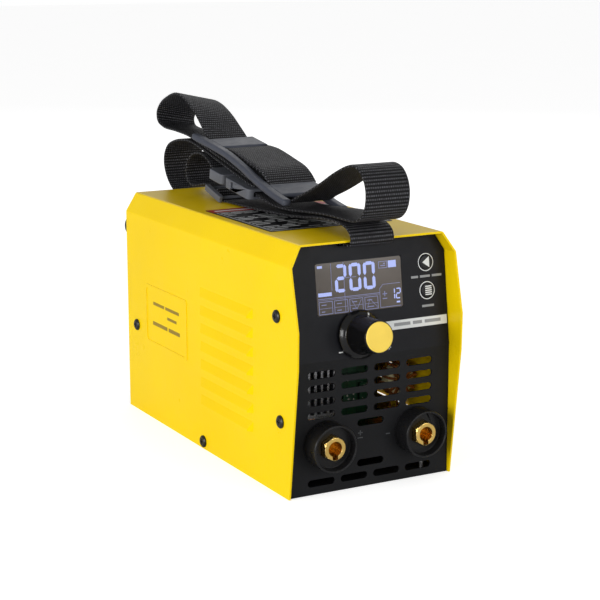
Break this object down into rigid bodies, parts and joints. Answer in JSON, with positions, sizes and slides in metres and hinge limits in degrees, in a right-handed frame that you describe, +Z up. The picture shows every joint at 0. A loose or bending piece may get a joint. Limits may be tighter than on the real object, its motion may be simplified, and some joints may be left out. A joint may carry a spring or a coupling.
{
  "type": "stick welder",
  "caption": "Portable inverter stick welder: tilted control panel over two output sockets, vented metal cover, shoulder strap",
  "frame": {"origin": "centre of the case's footprint, on the plane it stands on", "axes": "+Z up; -Y is the front with the controls and sockets; +X is to the right for someone who looks along +Y at the front"},
  "size_m": [0.1198, 0.3326, 0.2221],
  "materials": {
    "yellow_paint": "gloss powder coat",
    "steel": "zinc plated",
    "dark_steel": "black oxide",
    "black_paint": "satin powder coat",
    "black_plastic": "moulded nylon",
    "overlay_film": "satin printed film",
    "label_film": "satin printed film",
    "window": "smoked glossy",
    "lcd": "display glass and frame",
    "board": "green solder mask",
    "nylon": "natural nylon",
    "button": "satin moulded",
    "switch": "moulded",
    "knob_black": "glossy moulded",
    "knob_yellow": "satin moulded",
    "socket_plastic": "glass-filled nylon",
    "brass": "turned",
    "copper": "tinned copper",
    "aluminium": "extruded",
    "package": "moulded epoxy",
    "ferrite": "sintered ferrite",
    "tape": "polyester tape",
    "iron_powder": "coated powder core",
    "enamel_wire": "enamelled copper wire",
    "capacitor": "shrink sleeve",
    "ribbon": "flat cable",
    "fan_plastic": "moulded",
    "cord": "moulded rubber",
    "webbing": "woven nylon",
    "slate_plastic": "moulded"
  },
  "bodies": {
    "welder": {"cover_shell": "yellow_paint", "base_tray": "black_paint", "base_screws": "steel", "side_screws": "steel", "front_panel": "black_paint", "rear_panel": "black_paint", "front_overlay": "overlay_film", "top_label": "label_film", "display_window": "window", "lcd_module": "lcd", "control_board": "board", "board_spacers": "nylon", "board_screws": "steel", "mode_switch": "switch", "menu_switch": "switch", "encoder_body": "switch", "encoder_nut": "steel", "positive_socket_housing": "socket_plastic", "negative_socket_housing": "socket_plastic", "positive_socket_insert": "brass", "negative_socket_insert": "brass", "socket_nuts": "socket_plastic", "socket_bolts": "steel", "busbars": "copper", "power_board": "board", "power_transistors": "package", "output_diodes": "package", "transistor_heat_sink": "aluminium", "diode_heat_sink": "aluminium", "transformer_core": "ferrite", "transformer_winding": "tape", "choke_core": "iron_powder", "choke_winding": "enamel_wire", "bulk_capacitors": "capacitor", "rectifier_bridge": "package", "driver_board": "board", "ribbon_cable": "ribbon", "fan_frame": "fan_plastic", "fan_guard": "steel", "fan_screws": "steel", "power_switch_body": "switch", "cable_gland_body": "black_plastic", "cable_gland_nut": "black_plastic", "cable_gland_locknut": "black_plastic", "mains_cord": "cord", "mains_plug": "cord", "plug_pins": "brass", "strap_webbing": "webbing", "strap_pad": "slate_plastic", "buckle_plug": "slate_plastic", "buckle_socket": "slate_plastic", "strap_slider": "slate_plastic", "strap_anchor_bars": "steel"},
    "knob": {"knob_body": "knob_black", "knob_cap": "knob_yellow", "encoder_shaft": "steel"},
    "mode_key": {"mode_button": "button"},
    "menu_key": {"menu_button": "button"},
    "fan": {"fan_rotor": "fan_plastic"},
    "rocker": {"power_switch_rocker": "button"}
  },
  "joints": [
    {"name": "knob_turn", "type": "hinge", "parent": "welder", "child": "knob", "pos_m": [-0.008, -0.11653, 0.09548], "axis": [0, -0.9914, 0.1305], "continuous": true},
    {"name": "mode_press", "type": "slide", "parent": "welder", "child": "mode_key", "axis": [0, 0.9914, -0.1305], "range_m": [0, 0.0006]},
    {"name": "menu_press", "type": "slide", "parent": "welder", "child": "menu_key", "axis": [0, 0.9914, -0.1305], "range_m": [0, 0.0006]},
    {"name": "fan_spin", "type": "hinge", "parent": "welder", "child": "fan", "pos_m": [0, 0.105, 0.06], "axis": [0, 1, 0], "continuous": true},
    {"name": "switch_rock", "type": "hinge", "parent": "welder", "child": "rocker", "pos_m": [0.03, 0.1153, 0.126], "axis": [1, 0, 0], "range_deg": [0, 18]}
  ]
}
